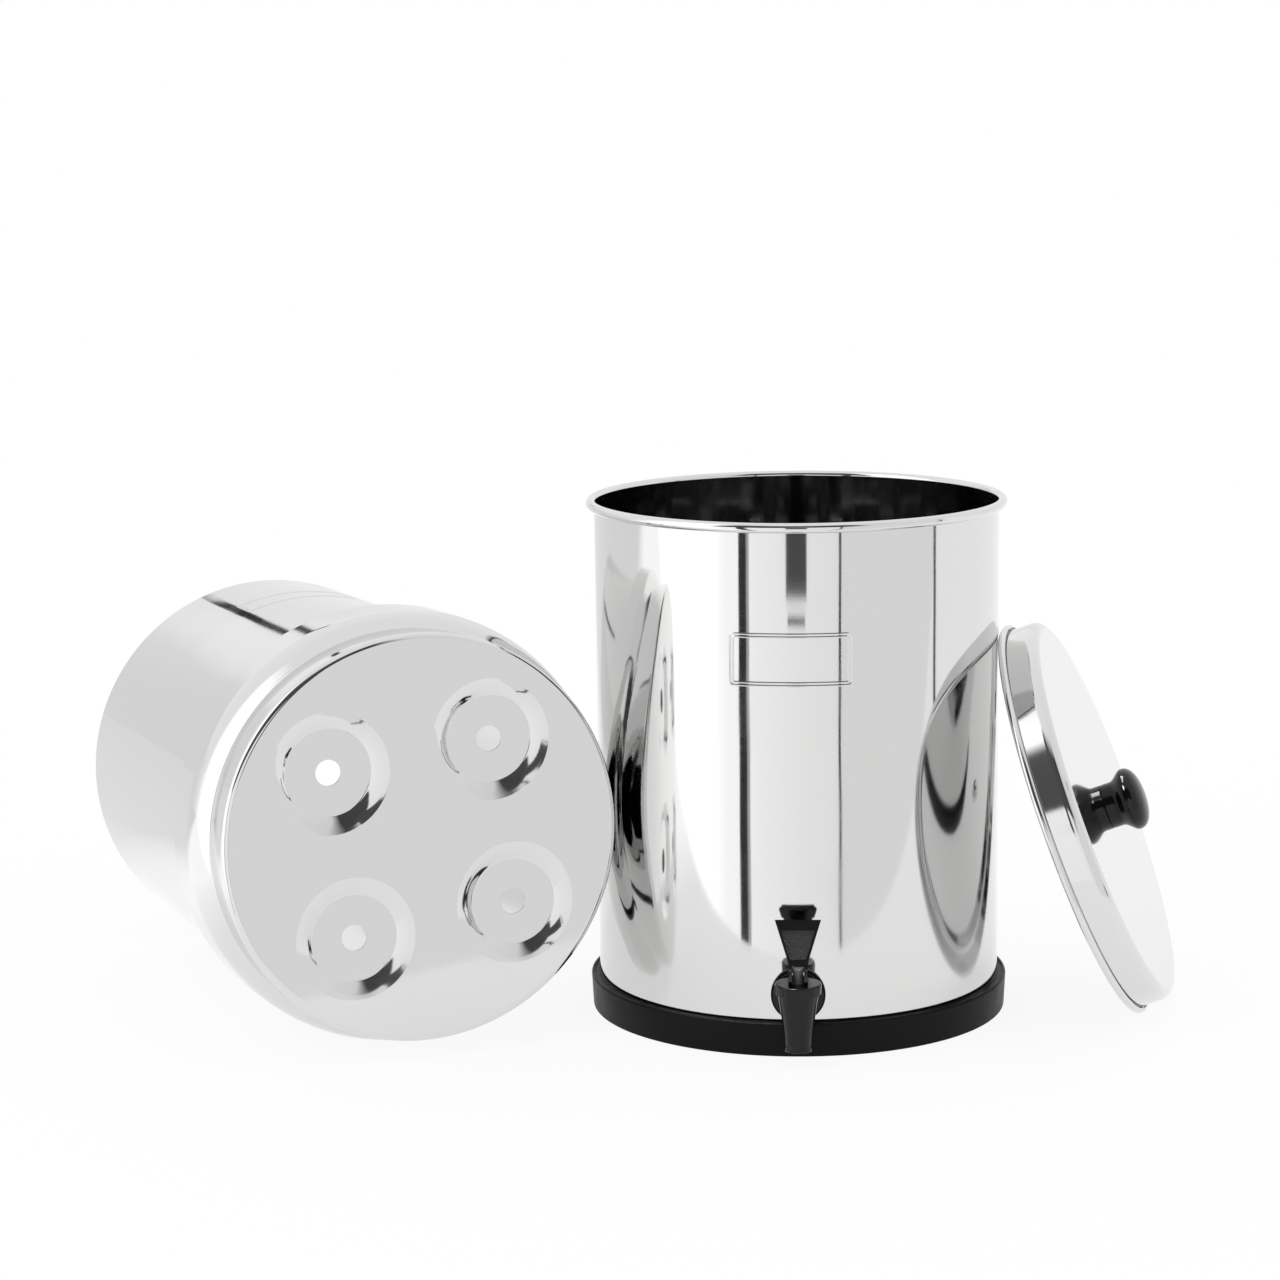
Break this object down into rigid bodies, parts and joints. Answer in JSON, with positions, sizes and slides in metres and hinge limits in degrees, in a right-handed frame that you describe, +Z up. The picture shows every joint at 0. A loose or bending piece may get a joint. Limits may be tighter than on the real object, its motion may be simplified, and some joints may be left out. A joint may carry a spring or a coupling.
{
  "type": "gravity water filter with tap",
  "caption": "Stainless steel gravity water filter taken apart: lower chamber with tap, upper chamber lying beside it, lid leaning, filter elements inside.",
  "frame": {"origin": "on the floor, on the axis of the standing lower chamber", "axes": "+Z up, -Y towards the tap, +X towards the lid"},
  "size_m": [0.6799, 0.3857, 0.3091],
  "materials": {
    "polished_steel": "mirror polished stainless steel",
    "black_rubber": "matt black rubber",
    "black_plastic": "satin black moulded plastic",
    "knob_plastic": "glossy black plastic",
    "grey_plastic": "dark grey moulded plastic",
    "silicone": "translucent white silicone",
    "steel_hardware": "plain stainless hardware",
    "carbon": "pressed black carbon"
  },
  "bodies": {
    "stand": {"lower_chamber": "polished_steel", "base_ring": "black_rubber", "tap_body": "black_plastic", "tap_bonnet": "black_plastic", "tap_outer_washer": "black_rubber", "tap_inner_washer": "black_rubber", "tap_nut": "black_plastic", "filter_element_1": "carbon", "filter_element_2": "carbon", "filter_element_3": "carbon", "filter_element_4": "carbon", "element_cap_1": "black_plastic", "element_cap_2": "black_plastic", "element_cap_3": "black_plastic", "element_cap_4": "black_plastic", "element_washer_1": "black_rubber", "element_washer_2": "black_rubber", "element_washer_3": "black_rubber", "element_washer_4": "black_rubber", "wing_nut_1": "black_plastic", "wing_nut_2": "black_plastic", "wing_nut_3": "black_plastic", "wing_nut_4": "black_plastic"},
    "stem": {"tap_stem": "grey_plastic", "tap_seat_cup": "silicone", "tap_lever_pin": "steel_hardware"},
    "lever": {"tap_lever": "black_plastic"},
    "upper": {"upper_chamber": "polished_steel"},
    "lid": {"lid": "polished_steel", "lid_knob": "knob_plastic", "lid_screw": "steel_hardware", "lid_washer": "steel_hardware"}
  },
  "joints": [
    {"name": "stem_lift", "type": "slide", "parent": "stand", "child": "stem", "axis": [0, 0, 1], "range_m": [0, 0.0045]},
    {"name": "lever_swing", "type": "hinge", "parent": "stem", "child": "lever", "pos_m": [0, -0.1445, 0.0544], "axis": [1, 0, 0], "range_deg": [0, 50]},
    {"name": "upper_lift", "type": "slide", "parent": "stand", "child": "upper", "axis": [-0.5, 0, 0.866], "range_m": [0, 0.35]},
    {"name": "lid_lift", "type": "slide", "parent": "stand", "child": "lid", "axis": [0.8, 0, 0.6], "range_m": [0, 0.3]}
  ],
  "couplings": [
    {"joint": "lever_swing", "follows": "stem_lift", "rad_per_m": 193.93}
  ]
}
